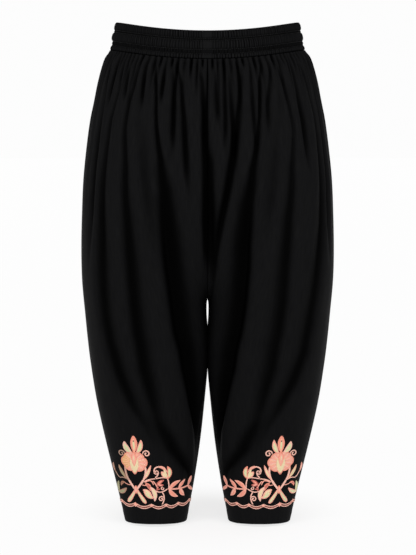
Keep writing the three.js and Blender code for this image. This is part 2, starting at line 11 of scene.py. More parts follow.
import bpy
import numpy as np
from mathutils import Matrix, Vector


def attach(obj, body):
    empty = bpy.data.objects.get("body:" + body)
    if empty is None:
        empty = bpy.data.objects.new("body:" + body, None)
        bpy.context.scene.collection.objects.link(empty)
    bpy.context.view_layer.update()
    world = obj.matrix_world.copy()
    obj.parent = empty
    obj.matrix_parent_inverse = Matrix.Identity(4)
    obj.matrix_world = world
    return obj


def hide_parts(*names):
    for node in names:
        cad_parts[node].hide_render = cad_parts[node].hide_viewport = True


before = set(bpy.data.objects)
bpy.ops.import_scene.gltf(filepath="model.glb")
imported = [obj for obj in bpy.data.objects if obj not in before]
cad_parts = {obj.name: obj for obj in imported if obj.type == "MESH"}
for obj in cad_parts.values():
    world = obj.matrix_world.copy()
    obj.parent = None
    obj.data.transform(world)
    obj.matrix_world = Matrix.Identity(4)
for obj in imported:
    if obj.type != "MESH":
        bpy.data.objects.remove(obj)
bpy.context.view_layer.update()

# %% [markdown]
# ## The form under the cloth
#
# A body in wide trousers is one oval at the hips and two ovals at the knees. The table gives, for each
# level, the half width over both legs, the inner edge of a leg, and the depth to front and back, all in
# millimetres. A smooth curve through the rows makes the outline, so the silhouette is set by a few
# numbers that are easy to change. Sculpting would give the same form, but not one that can be measured.

# %% The outline table
SECTIONS = np.array([
    # level, side, inner, front, back
    (30, 164.6, 0, 113, 119),
    (1, 171.2, 0, 115, 121),
    (-24, 175.8, 0, 117, 124),
    (-42, 185.9, 0, 124, 132),
    (-78, 196.9, 0, 132, 143),
    (-114, 204.4, 0, 138, 152),
    (-150, 211.9, 0, 143, 159),
    (-204, 219.6, 0, 149, 167),
    (-258, 225.5, 0, 153, 171),
    (-313, 228.3, 0, 155, 172),
    (-386, 230.2, 0, 153, 167),
    (-441, 229.3, 0, 147, 158),
    (-500, 224.3, 1.4, 134, 143),
    (-545, 220.0, -1.6, 124, 131),
    (-592, 214.6, -1.0, 114, 119),
    (-663, 203.8, 5.2, 100, 103),
    (-738, 187.7, 13.2, 86, 88),
    (-814, 169.7, 24.8, 71, 72),
    (-887, 153.0, 38.6, 57, 57.5),
])
BAND_HEIGHT = 49
FRONT_DIP, BACK_DIP, DIP_ENDS = 20, 12, -260
RISE_STARTS, CROTCH, HEM = -150, -476, -882
BAND_FOOT = -BAND_HEIGHT / 2
SEAM_GAP = 0.3  # between the band and the panels
SEAM_REACH = 0.06  # how far from the rise seam its own curve rules, as a share of the way round
SLOPE_STEP, LEVEL_STEP = 0.002, 0.5  # the steps that the outward direction is measured over


def smooth(x):
    """0 below 0 and 1 above 1, with a soft S between."""
    s = np.clip(x, 0, 1)
    return s * s * (3 - 2 * s)


def mix(a, b, share):
    return a + (b - a) * share


def outline_at(level):
    """Side, inner, front and back at each level: a cubic between two rows, sloped by their neighbours."""
    level = np.asarray(level, float)
    depth = -SECTIONS[:, 0]
    row = np.clip(np.searchsorted(depth, -level, "left") - 1, 0, len(SECTIONS) - 2)
    a, b = SECTIONS[row], SECTIONS[row + 1]
    before, after = SECTIONS[np.maximum(row - 1, 0)], SECTIONS[np.minimum(row + 2, len(SECTIONS) - 1)]
    span = (b[..., 0] - a[..., 0])[..., None]
    s = np.clip((level[..., None] - a[..., :1]) / span, 0, 1)
    slope_a = (b - before) / (b[..., :1] - before[..., :1]) * span
    slope_b = (after - a) / (after[..., :1] - a[..., :1]) * span
    rows = a * (2 * s**3 - 3 * s**2 + 1) + slope_a * (s**3 - 2 * s**2 + s)
    rows = rows + b * (3 * s**2 - 2 * s**3) + slope_b * (s**3 - s**2)
    return np.moveaxis(rows[..., 1:], -1, 0)


print("half width at the hips:", round(float(outline_at(-386.0)[0]), 1), "mm")

# %% [markdown]
# ## From one oval to two legs
#
# Every place on the left half has two numbers: `t`, the share of the way from the front centre (0) round
# the side seam (0.5) to the back centre (1), and its level. The hips are half an oval over those numbers
# and the leg is a closed oval. The rise seam sinks between the legs along a quarter ellipse, and the form
# passes from one to the other on the way down. The right half is the same thing mirrored.


# %% Points of the smooth form
def smooth_point(t, level):
    """The left half without folds: half an oval at the hips mixed into a closed oval for the leg."""
    t, level = np.broadcast_arrays(np.asarray(t, float), np.asarray(level, float))
    side, inner, front, back = outline_at(level)
    depth = np.where(t < 0.5, front, back)
    fall = (RISE_STARTS - level) / (RISE_STARTS - CROTCH)
    seam_share = 1 - np.sqrt(1 - np.clip(fall, 0, 1) ** 2)
    near_seam = np.exp(-((t / SEAM_REACH) ** 2)) + np.exp(-(((1 - t) / SEAM_REACH) ** 2))
    leg = mix(smooth((fall - 0.2) / 1.1), seam_share, near_seam)
    hip = np.stack([side * np.sin(np.pi * t), -depth * np.cos(np.pi * t)])
    middle = (side + inner) / 2
    tube = np.stack([middle - (side - inner) / 2 * np.cos(2 * np.pi * t), -depth * np.sin(2 * np.pi * t)])
    x, y = mix(hip, tube, leg)
    return np.stack([x, y, level], -1)


def outward(t, level):
    """The direction out of the smooth form: its slope round crossed with its slope up, one unit long."""
    further, nearer = np.minimum(t + SLOPE_STEP, 1), np.maximum(t - SLOPE_STEP, 0)
    around = smooth_point(further, level) - smooth_point(nearer, level)
    up = smooth_point(t, level + LEVEL_STEP) - smooth_point(t, level - LEVEL_STEP)
    normal = np.cross(around, up)
    return normal / np.linalg.norm(normal, axis=-1, keepdims=True)


def dip_at(t):
    """How far the waist hangs below its sides: deepest at the front and back centre, nothing at the sides."""
    return np.where(t < 0.5, FRONT_DIP, BACK_DIP) * np.cos(np.pi * t) ** 2


print("front centre at the knee:", np.round(smooth_point(0.25, -592.0), 1))

# %% [markdown]
# ## Gathers and folds
#
# The cloth is cut far wider than the waist and drawn up by the elastic. Close under the band it stands in
# narrow pleats with sharp valleys; some run out within a hand's width, others open into long folds that
# lean towards the crotch. A cloth simulation could find folds, but not put them where this pair has them,
# so each one is a row in a table: a trench that follows a path of levels and places round the body. A
# trench is steep on its outer side and rises slowly towards the middle, as cloth does that hangs from there.

# %% The folds of the front
Fold = namedtuple("Fold", "depth wide grown path")
# A path is (level, place) pairs. Levels and depth are in millimetres. Places and widths are thousandths of
# half the way round: 0 front centre, 500 side seam, 1000 back centre, positive on the wearer's left.
FRONT_ROWS = (
    (14, 5, 42, ((-34, -165), (-76, -152), (-156, -138), (-219, -123), (-273, -117), (-348, -125),
        (-410, -135), (-470, -142), (-530, -147), (-594, -131), (-658, -100), (-720, -62), (-820, -30))),
    (14, 5, 38, ((-34, 170), (-69, 157), (-169, 137), (-232, 120), (-297, 114), (-366, 122), (-410, 134),
        (-470, 146), (-530, 150), (-592, 138), (-658, 104), (-720, 66), (-820, 30))),
    (9, 12, 22, ((-190, 3), (-300, 8), (-400, 12), (-520, 15))),
    (12, 7, 13, ((-30, 103), (-91, 93), (-169, 76), (-242, 59), (-318, 43), (-392, 29), (-467, 31))),
    (9, 6, 13, ((-30, 1), (-134, -2), (-232, -4), (-342, -4), (-472, -3))),
    (9, 6, 8, ((-28, -29), (-65, -16), (-119, -10), (-240, -8))),
    (10, 6, 10, ((-30, -96), (-72, -75), (-134, -64), (-220, -55), (-320, -45))),
    (9, 7, 8, ((-30, -111), (-72, -97), (-134, -93), (-230, -90))),
    (9, 6, 30, ((-32, -222), (-79, -227), (-110, -237), (-160, -240), (-232, -227), (-320, -235),
        (-407, -250), (-470, -262), (-530, -268), (-590, -262), (-650, -240), (-702, -216), (-790, -150))),
    (9, 6, 32, ((-32, -289), (-89, -285), (-143, -300), (-234, -312), (-299, -326), (-412, -348),
        (-490, -358), (-544, -354), (-604, -334), (-658, -300), (-700, -262), (-790, -190))),
    (8, 6, 14, ((-28, -381), (-62, -360), (-91, -356), (-141, -355), (-260, -365), (-430, -400))),
    (7, 6, 8, ((-30, -317), (-68, -326), (-130, -335))),
    (7, 6, 8, ((-27, -275), (-53, -264), (-120, -257))),
    (7, 6, 8, ((-30, -201), (-70, -196), (-130, -190))),
    (7, 6, 8, ((-30, -129), (-74, -132), (-120, -134))),
    (4, 14, 24, ((-65, -214), (-201, -177), (-290, -160), (-430, -170))),
    (7, 6, 8, ((-30, 22), (-103, 27), (-170, 30))),
    (8, 6, 8, ((-30, 49), (-136, 48), (-230, 44))),
    (8, 6, 8, ((-34, 63), (-155, 69), (-240, 71))),
    (7, 6, 8, ((-30, 128), (-157, 127), (-220, 128))),
    (7, 6, 10, ((-28, 206), (-46, 200), (-113, 175), (-190, 165))),
    (8, 6, 30, ((-30, 225), (-117, 248), (-167, 252), (-232, 236), (-320, 238), (-410, 254), (-468, 266),
        (-528, 270), (-590, 263), (-650, 240), (-702, 216), (-790, 150))),
    (4, 14, 24, ((-78, 224), (-171, 190), (-262, 175), (-400, 170))),
    (8, 6, 12, ((-30, 284), (-51, 288), (-143, 298), (-260, 300))),
    (9, 6, 32, ((-28, 333), (-48, 339), (-132, 361), (-234, 366), (-335, 373), (-412, 366), (-490, 362),
        (-562, 356), (-616, 330), (-664, 290), (-700, 258), (-790, 190))),
    (7, 6, 12, ((-28, 405), (-100, 400), (-300, 410), (-440, 425))),
    (8, 30, 36, ((-680, -225), (-741, -169), (-790, -86), (-835, -50))),
    (8, 30, 36, ((-680, 225), (-745, 171), (-784, 92), (-835, 50))),
)


def laid_on_the_back(fold):
    """The same fold behind: front centre becomes back centre, left becomes right, a little further out."""
    return fold._replace(path=[(level * 1.03, 1 + 1.05 * place) for level, place in fold.path])


FRONT_FOLDS = [Fold(depth, wide / 1000, grown / 1000, [(level, place / 1000) for level, place in path])
               for depth, wide, grown, path in FRONT_ROWS]
FOLDS = FRONT_FOLDS + [laid_on_the_back(fold) for fold in FRONT_FOLDS]
print(len(FOLDS), "folds, front and back")

# %% [markdown]
# ### The pleats between the folds
#
# The rows above are the pleats that can be told apart. Between them the cloth is drawn up all round, so a
# wave with a wandering pitch fills the waist seam: twenty-six pleats to a panel, each with a depth and a
# length of its own. Finer ripples run on down from it and make the cloth look worn and soft.

# %% Gathers under the band
PANEL_GATHERS = 26
GATHER_DEPTH = 7.0
GATHER_PEAK = 15
FOLD_DEEPENS = 45  # the distance over which a fold reaches its depth
FOLD_FADES = 200  # the longest distance over which it runs out


def gather_depth(t, below):
    """Valleys at whole numbers of a wandering phase, swelling under the seam and dying out further down."""
    phase = 2 * PANEL_GATHERS * t + 0.35 * np.sin(19 * t) + 0.16 * np.sin(47 * t)
    count = np.round(phase)
    share = 0.72 + 0.28 * np.sin(2.4 * count + 0.6)
    reach = 1 + 0.65 * np.sin(3.7 * count + 1.1)
    along = below / (GATHER_PEAK * reach)
    swell = 0.8 * np.exp(-along) + along * np.exp(1 - along)
    valley = (0.5 + 0.5 * np.cos(2 * np.pi * phase)) ** 2.2
    return GATHER_DEPTH * share * swell * valley


def crease_depth(sign, t, below):
    """Fine creases between the pleats: three ripples of different pitch that fade downwards, and at the
    front and back centre, where the two halves are sewn together."""
    place = t + 0.004 * np.sin(below / 31 + 6 * t)
    first = np.sin(2 * np.pi * 63 * place + 1.3 * sign + 2 * np.sin(9 * t)) * np.exp(-below / 55)
    second = np.sin(2 * np.pi * 31 * place + 2.1 + 1.7 * sign) * np.exp(-below / 150)
    third = np.sin(2 * np.pi * 13.5 * place + 0.4 * sign + 0.8 * np.sin(below / 90)) * np.exp(-below / 420)
    return (0.5 * first + 0.7 * second + 0.9 * third) * smooth(np.minimum(t, 1 - t) / 0.012)


def fold_depth(sign, t, level):
    """How far the cloth lies inside the smooth form: gathers, fine creases and every fold added up."""
    below = np.maximum(0, BAND_FOOT - level)
    depth = gather_depth(t, below) + crease_depth(sign, t, below) * smooth(below / 12)
    for fold in FOLDS:
        levels, places = np.array(fold.path).T
        top, end, centre = levels[0], levels[-1], np.round(places[-1])
        along = np.clip((top - level) / (top - end), 0, 1)
        away = (sign * t - np.interp(-level, -levels, places) + 1) % 2 - 1
        towards_middle = away * np.sign(places[-1] - centre) < 0
        grown = np.where(towards_middle, fold.grown, 0.4 * fold.grown + 0.6 * fold.wide)
        opened = smooth((along - 0.12) / 0.36)
        wide = mix(fold.wide, grown, opened)
        fades = min(0.4 * (top - end), FOLD_FADES)
        strength = smooth((top + 8 - level) / FOLD_DEEPENS) * smooth((level - end) / fades)
        depth = depth + fold.depth * strength * mix(0.6, 1, opened) * np.exp(-np.abs(away / wide) ** 1.7)
    return depth


print("deepest gather:", round(float(gather_depth(np.linspace(0, 1, 999), 20.0).max()), 1), "mm")

# %% [markdown]
# ## A point on the cloth
#
# The folded surface is the smooth form moved in along its own outward direction by the fold depth. Where
# the rise seam has sunk between the legs the folds are calmed, because the two legs lie flat against each
# other there. Above the crotch the seam holds both halves on the middle plane. Everything that lies on the
# cloth, such as the embroidery, asks this one function where the cloth is, so nothing floats over a fold or
# sinks into it.

# %% Cloth points
SEAM_DEPTH, SEAM_WIDE = 0.9, 0.0035
FOLDS_CALM, CALM_WIDE = -370, 0.03
SEWN_WIDE = 0.006


def inward(sign, t, level):
    """How far the cloth lies in at a place: its folds, calmed beside the sunk rise seam, and the seams."""
    calm = mix(1, smooth(np.minimum(t, 1 - t) / CALM_WIDE), smooth((FOLDS_CALM - level) / 90))
    away = np.minimum(np.minimum(t, 1 - t), np.abs(t - 0.5))
    return fold_depth(sign, t, level) * calm + SEAM_DEPTH * np.exp(-((away / SEAM_WIDE) ** 2))


def cloth_point(sign, t, level, lift=0.0):
    """A place on the folded cloth in millimetres, lifted off its face and mirrored where sign is -1."""
    t, level = np.broadcast_arrays(np.asarray(t, float), np.asarray(level, float))
    row = level - dip_at(t) * smooth((level - DIP_ENDS) / (BAND_FOOT - DIP_ENDS))
    point = smooth_point(t, level) + outward(t, level) * (lift - inward(sign, t, level))[..., None]
    point[..., 2] += row - level
    sewn = np.exp(-((np.minimum(t, 1 - t) / SEWN_WIDE) ** 2)) * smooth((level - CROTCH + 9) / 10)
    point[..., 0] = np.maximum(point[..., 0] * (1 - sewn), 0) * sign
    return point


print("a point of the left front:", np.round(cloth_point(1, 0.25, -400.0), 1))

# %% [markdown]
# ## Grids become meshes
#
# A patch is a grid of points, its quads and a UV map in metres, so that a weave or a thread keeps its real
# scale on it. Patches that belong to one piece are joined before Blender sees them. On a closed patch the
# sign of its volume tells whether its faces point outwards, and they are turned if they don't.

# %% Patch helpers
Patch = namedtuple("Patch", "points faces uv colour")


def grid(points, u, v, wrap_rows=False, wrap_columns=False, colour=(1, 1, 1)):
    """A patch from rows and columns of points, with a colour for all or one for each. u belongs to the
    columns and v to the rows."""
    rows, columns = points.shape[:2]
    r, c = np.meshgrid(
        np.arange(rows if wrap_rows else rows - 1), np.arange(columns if wrap_columns else columns - 1),
        indexing="ij",
    )
    corner_rows = np.stack([r, r + 1, r + 1, r], -1).reshape(-1, 4)
    corner_columns = np.stack([c, c, c + 1, c + 1], -1).reshape(-1, 4)
    faces = corner_rows % rows * columns + corner_columns % columns
    uv = np.stack([u[corner_columns], v[corner_rows]], -1)
    colours = np.broadcast_to(np.asarray(colour, float), points.shape).reshape(-1, 3)
    return Patch(points.reshape(-1, 3), faces, uv, colours)


def turned(patch):
    return patch._replace(faces=patch.faces[:, ::-1], uv=patch.uv[:, ::-1])


def facing_out(patch):
    """The patch with its faces turned if its volume, added up over the faces, is negative."""
    a, b, c, d = np.moveaxis(patch.points[patch.faces] - patch.points.mean(0), 1, 0)
    volume = np.einsum("ij,ij->", a, np.cross(b, c)) + np.einsum("ij,ij->", a, np.cross(c, d))
    return patch if volume > 0 else turned(patch)


def joined(patches):
    starts = np.cumsum([0] + [len(patch.points) for patch in patches[:-1]])
    renumbered = [patch._replace(faces=patch.faces + start) for patch, start in zip(patches, starts)]
    return Patch(*(np.concatenate(parts) for parts in zip(*renumbered)))


def add_object(name, data):
    thing = bpy.data.objects.new(name, data)
    bpy.context.collection.objects.link(thing)
    return thing


def make_piece(name, patch, material):
    """An object at the origin whose mesh holds the patch, in metres, smooth shaded."""
    mesh = bpy.data.meshes.new(name)
    mesh.from_pydata((patch.points / 1000).tolist(), [], patch.faces.tolist())
    mesh.uv_layers.new(name="cloth").data.foreach_set("uv", patch.uv.astype(np.float32).ravel())
    # The attribute "thread" holds each point's colour: the thread's own colour on the embroidery, and painted
    # shade and highlight on the cloth of the legs and the band.
    thread = mesh.color_attributes.new("thread", "FLOAT_COLOR", "POINT")
    rgba = np.column_stack([patch.colour, np.ones(len(patch.points))])
    thread.data.foreach_set("color", rgba.astype(np.float32).ravel())
    mesh.polygons.foreach_set("use_smooth", np.ones(len(patch.faces), bool))
    mesh.materials.append(material)
    print(name, "-", len(patch.faces), "quads")
    return add_object(name, mesh)


# %% [markdown]
# ## The black cloth
#
# The trousers are a light woven rayon: almost black, soft and matt, with a faint sheen where it turns
# away. Two crossed waves at the pitch of the yarns make the weave, on the UV map, which is in metres of
# cloth, so the weave follows the folds. A noise makes some yarns thicker than others, and one drawn out
# along the warp gives the faint streaks of worn rayon. Little light reaches the bottom of a fold, so the
# colour is multiplied by a shade that the mesh keeps at each point.
#
# A node is added with its settings and its inputs in one call: an input is given a value, or is linked
# when it is given another node's output.

# %% Cloth material
YARN_PITCH = 0.0005
WAVE_PERIOD = 0.31416  # metres between the crests of a wave texture at scale 1
STREAKS = (420, 36, 1)  # streaks to a metre, across the warp and along it


def feed(node, inputs):
    """Each named or numbered input is set to its value, or linked to the output that is to feed it."""
    for name, value in inputs.items():
        if isinstance(value, bpy.types.NodeSocket):
            node.id_data.links.new(value, node.inputs[name])
        else:
            node.inputs[name].default_value = value


def add_node(tree, kind, inputs=None, **settings):
    node = tree.nodes.new("ShaderNode" + kind)
    for name, value in settings.items():
        setattr(node, name, value)
    feed(node, inputs or {})
    return node


def new_material(name):
    """A material with its node tree and its shader."""
    material = bpy.data.materials.new(name)
    material.use_nodes = True
    return material, material.node_tree, material.node_tree.nodes["Principled BSDF"]


def yarns(tree, source, direction, pitch, wobble):
    """A wave across the given direction with one crest every pitch metres."""
    inputs = {"Vector": source, "Scale": WAVE_PERIOD / pitch, "Distortion": wobble, "Detail": 1.0}
    return add_node(tree, "TexWave", inputs, bands_direction=direction).outputs["Fac"]


def noise(tree, source, scale, detail):
    return add_node(tree, "TexNoise", {"Vector": source, "Scale": scale, "Detail": detail}).outputs["Fac"]


def multiplied(tree, first, second):
    inputs = {"Factor": 1.0, "A": first, "B": second}
    return add_node(tree, "Mix", inputs, data_type="RGBA", blend_type="MULTIPLY").outputs["Result"]


def bumped(tree, height, strength, distance):
    inputs = {"Height": height, "Strength": strength, "Distance": distance}
    return add_node(tree, "Bump", inputs).outputs["Normal"]


def kept_colour_and_painted_shade(tree):
    """The colour that the mesh keeps at each point: the thread's own colour on the embroidery, and painted
    shade and highlight on the cloth of the legs and the band.
    """
    return add_node(tree, "VertexColor", layer_name="thread").outputs["Color"]


def black_cloth(name):
    """Near-black woven cloth, streaked along the warp, with painted shade in its folds."""
    material, tree, shader = new_material(name)
    uv = add_node(tree, "UVMap", uv_map="cloth").outputs["UV"]
    place = add_node(tree, "TexCoord").outputs["Object"]

    stretched = add_node(tree, "Mapping", {"Vector": uv, "Scale": STREAKS}).outputs["Vector"]
    shades = add_node(tree, "ValToRGB", {"Fac": noise(tree, stretched, 1.0, 4.0)})
    dark, light = shades.color_ramp.elements
    dark.position, dark.color = 0.3, (0.0042, 0.0042, 0.0045, 1)
    light.position, light.color = 0.7, (0.0064, 0.0064, 0.0067, 1)

    weave = {0: yarns(tree, uv, "X", YARN_PITCH, 0.4), 1: yarns(tree, uv, "Y", YARN_PITCH, 0.4)}
    crossed = add_node(tree, "Math", weave, operation="ADD").outputs[0]
    slubbed = {0: crossed, 1: 0.5, 2: noise(tree, place, 900.0, 3.0)}
    height = add_node(tree, "Math", slubbed, operation="MULTIPLY_ADD").outputs[0]
    feed(shader, {
        "Base Color": multiplied(tree, shades.outputs["Color"], kept_colour_and_painted_shade(tree)),
        "Normal": bumped(tree, height, 0.35, 0.00012),
        "Roughness": 0.6, "Specular IOR Level": 0.014, "Sheen Weight": 0.002, "Sheen Roughness": 0.3,
    })
    return material


LEG_CLOTH, BAND_CLOTH = black_cloth("black leg cloth"), black_cloth("black waistband cloth")
print("cloth materials:", LEG_CLOTH.name, "and", BAND_CLOTH.name)

# %% [markdown]
# ## The embroidery thread
#
# Satin stitch lays shiny thread side by side across a shape, so light runs along it in bands. The colour of
# each stroke is kept in the mesh as an attribute, and the lines between threads are a fine wave along the
# stroke in the UV map. A little noise darkens some threads, as uneven tension does.

# %% Thread material
THREAD_PITCH = 0.00045


def thread_material():
    """Shiny stitched thread whose colour is read from the mesh, with a groove between threads."""
    material, tree, shader = new_material("embroidery thread")
    uv = add_node(tree, "UVMap", uv_map="cloth").outputs["UV"]
    darkening = {"Value": noise(tree, uv, 700.0, 2.0), "To Min": 0.72, "To Max": 1.12}
    shade = add_node(tree, "MapRange", darkening).outputs["Result"]
    groove = yarns(tree, uv, "X", THREAD_PITCH, 0.6)
    feed(shader, {
        "Base Color": multiplied(tree, kept_colour_and_painted_shade(tree), shade),
        "Normal": bumped(tree, groove, 0.5, 0.00015),
        "Roughness": 0.5, "Specular IOR Level": 0.3,
    })
    return material


THREAD = thread_material()


def from_screen(red, green, blue):
    """A colour named in 0-255 screen values, as the linear light that a shader mixes."""
    c = np.array([red, green, blue]) / 255
    return tuple(np.where(c <= 0.04045, c / 12.92, ((c + 0.055) / 1.055) ** 2.4))


CORAL = from_screen(243, 152, 128)
PEACH = from_screen(248, 184, 150)
SALMON = from_screen(246, 170, 150)
PINK = from_screen(247, 190, 172)
ROSE = from_screen(196, 106, 94)
SAGE = from_screen(218, 214, 166)
SAND = from_screen(236, 214, 170)
AMBER = from_screen(232, 176, 116)
# A dark olive that stands in for the shade on the outer side of the wearer's right leg.
PAINTED_SIDE_SHADE = from_screen(92, 82, 48)
BLACK_THREAD = from_screen(18, 18, 19)
print("coral as linear light:", np.round(CORAL, 3))

# %% [markdown]
# ## The leg panels
#
# Each leg is a front and a back panel, sewn at the rise, the inseam and the side seam. A panel is a grid
# of 200 columns round and 175 rows down, with one more close inside each edge. Rows are closer near the
# waist, where the pleats are fine, and columns are closer at the seams, where the cloth turns in. A
# Solidify modifier gives it the thickness of cloth on the inside. The hem is turned up, so the last two
# centimetres are thicker.

# %% Panels
PANEL_COLUMNS, PANEL_ROWS = 200, 175
PANEL_WIDTH = 0.42  # metres of cloth across a panel's UV map
CLOTH_THICKNESS = 0.0009  # metres
# The darkest painted shade, at the bottom of a fold, and the fold depth over which the cloth is shaded
# towards it.
FOLD_SHADE, SHADE_DEPTH = 0.01, 5.5  # the darkest shade, and how deep a fold is on the way to it
HEM_TURN, HEM_TURN_PROUD = 20, 0.5
HEM_SIDES_LOWER = 4.8
SIDES = (("left", 1), ("right", -1))
QUARTERS = [(side, sign, where, half) for side, sign in SIDES for half, where in enumerate(("front", "back"))]


def panel_patch(sign, half):
    """A grid over one panel: t runs between its seams, the level from the waist seam down to the hem."""
    share = np.linspace(0, 1, PANEL_COLUMNS)
    share = share - 0.45 * np.sin(2 * np.pi * share) / (2 * np.pi)
    share = np.insert(share, [1, PANEL_COLUMNS - 1], [0.002, 0.998])
    fall = np.linspace(0, 1, PANEL_ROWS)
    fall = np.insert(0.5 * fall + 0.5 * fall**1.8, [1, PANEL_ROWS - 1], [0.001, 0.9985])
    t = (half + share) / 2
    hem = HEM - HEM_SIDES_LOWER * np.cos(2 * np.pi * t[None, :]) ** 2
    level = mix(BAND_FOOT - SEAM_GAP / 2, hem, fall[:, None])
    lift = HEM_TURN_PROUD * smooth((hem + HEM_TURN - level) / 2)
    points = cloth_point(sign, t[None, :], level, lift)
    # Painted shade: the cloth's colour is darkened where it lies deep in a fold, down to FOLD_SHADE, standing
    # in for the light that does not reach there.
    open_share = np.exp(-((inward(sign, t[None, :], level) / SHADE_DEPTH) ** 2))
    shade = FOLD_SHADE + (1 - FOLD_SHADE) * open_share
    patch = grid(points, PANEL_WIDTH * share, -level.mean(1) / 1000, colour=shade[..., None])
    return patch if sign > 0 else turned(patch)


panels = {}
for side, sign, where, half in QUARTERS:
    panel = make_piece(f"{where}_panel_{side}", panel_patch(sign, half), LEG_CLOTH)
    wall = panel.modifiers.new("thickness of the cloth", "SOLIDIFY")
    wall.thickness = CLOTH_THICKNESS
    wall.offset = -1
    panels[f"{where}_{side}"] = panel

# %% [markdown]
# ## The waistband
#
# The band is a strip folded over a wide elastic and stitched through in four lines. Where it is
# stitched it lies flat; between the lines it puffs out, and because the elastic pulls it in, the whole band
# is ruched into small uneven ridges. Its section is a profile of puffs and channels, carried round the
# waist as a closed ring. Each puff has ridges of its own, and they fade where a stitch line holds them.

# %% Band profile
Roll = namedtuple("Roll", "low high proud")
# The puffs, from the foot of the band to its top edge, as shares of the band's height.
ROLLS = [Roll(0, 0.17, 2.0), Roll(0.19, 0.31, 0.8), Roll(0.34, 0.64, 2.5), Roll(0.66, 0.71, 0.5),
         Roll(0.73, 1, 2.0)]
STITCH_LINES = [0.18, 0.325, 0.65, 0.72]
BAND_SET_IN = 2.6
BAND_COLUMNS = 1300
FACE_ROWS, INSIDE_ROWS = 32, 8
BAND_WALL = 2.4
HALF_ROUND = 455
BAND_FULLNESS = 1.2  # how much longer the cloth is than the elastic that draws it up
FLAT_AT_JOIN = 5.5  # the ruching stops this far from the front centre, where the band is joined


def round_the_waist(share):
    """Sign and place of a share that runs from the front round the left (0 to 1) and back (1 to 2)."""
    return np.where(share <= 1, 1.0, -1.0), np.where(share <= 1, share, 2 - share)


def band_proud(share):
    """How far the band's face stands out: a rounded hump over each puff, nearly nothing in the channels."""
    proud = np.full_like(share, 0.15)
    for roll in ROLLS:
        across = np.clip((share - roll.low) / (roll.high - roll.low), 0, 1)
        proud = proud + roll.proud * np.sqrt(np.maximum(0, 1 - (2 * across - 1) ** 2)) * 0.95
    return proud


def ruching(place, share):
    """Uneven ridges along the band: waves of about 4 and 7 mm pitch that shift from puff to puff."""
    puff = np.searchsorted([0.18, 0.325, 0.685], share)
    lean = 0.9 * np.sin(5 * share + place / 19)
    fine = np.sin(2 * np.pi * place / 4.1 + 1.9 * puff + 1.6 * np.sin(place / 13) + lean)
    coarse = np.sin(2 * np.pi * place / 7.3 + 2.7 * puff + 1.1 * np.sin(place / 29) - lean)
    uneven = 0.8 + 0.2 * np.sin(place / 17 + 2.2 * puff)
    return (0.85 * fine + 0.25 * coarse) * uneven


def band_patch():
    """The closed ring: columns round the waist, rows up the face, over the top edge and down inside."""
    round_share = np.arange(BAND_COLUMNS) * 2 / BAND_COLUMNS
    sign, t = round_the_waist(round_share)
    face = np.linspace(0, 1, FACE_ROWS)
    inside = np.linspace(0.99, 0.01, INSIDE_ROWS)
    share = np.concatenate([face, inside])[:, None]
    on_face = np.arange(FACE_ROWS + INSIDE_ROWS)[:, None] < FACE_ROWS
    place = (round_share * HALF_ROUND)[None, :]
    held = np.ones_like(share)
    for line in STITCH_LINES:
        held = held * (1 - 0.75 * np.exp(-(((share - line) / 0.025) ** 2)))
    from_join = np.minimum(place, 2 * HALF_ROUND - place)
    loose = smooth((from_join - FLAT_AT_JOIN) / 2.5)
    face_lift = band_proud(share) * mix(0.55, 1, loose) + ruching(place, share) * held * loose
    lift = np.where(on_face, face_lift, -BAND_WALL + 0.3 * ruching(place + 40, share)) - BAND_SET_IN
    level = mix(BAND_FOOT + SEAM_GAP / 2, BAND_HEIGHT / 2, share)
    normal = outward(t[None, :], level)
    normal[..., 2] = 0
    normal = normal / np.linalg.norm(normal, axis=-1, keepdims=True)
    points = smooth_point(t[None, :], level) + normal * lift[..., None]
    points[..., 2] = level - dip_at(t)[None, :]
    points[..., 0] *= sign[None, :]
    u = np.arange(BAND_COLUMNS + 1) * (2 * BAND_FULLNESS * HALF_ROUND / 1000 / BAND_COLUMNS)
    v = np.append(np.concatenate([face, 2 - inside]), 2.0) * BAND_HEIGHT / 1000
    # Painted shade and highlight: the band is darker in the stitched channels and the valleys of the ruching,
    # and lighter on the puffs and crests, up to 1.6 times its colour.
    painted_ridge_light = mix(1.0, 0.72 + 0.6 * ruching(place, share), loose)
    shade = np.clip(mix(0.25, 1.2, smooth(band_proud(share) / 2)) * painted_ridge_light, 0.08, 1.6)
    return facing_out(grid(points, u, v, wrap_rows=True, wrap_columns=True, colour=shade[..., None]))


waistband = make_piece("elastic_waistband", band_patch(), BAND_CLOTH)

# %% [markdown]
# ## Stitches through the band
#
# Four lines of lockstitch hold the elastic. A stitch is a short rounded bar of thread, about three
# millimetres long, that dips into the cloth at both ends. One small bar is repeated along each line as
# whole arrays, so a thousand stitches cost one formula.

# %% Band stitches
STITCH_LENGTH = 3.2
STITCH_PROUD = 0.5
# The rings of one stitch: a share of its length, and half its thickness there.
STITCH_RINGS = np.array([(0.1, 0.08), (0.3, 0.3), (0.7, 0.3), (0.9, 0.08)])
STITCH_SIDES = 6


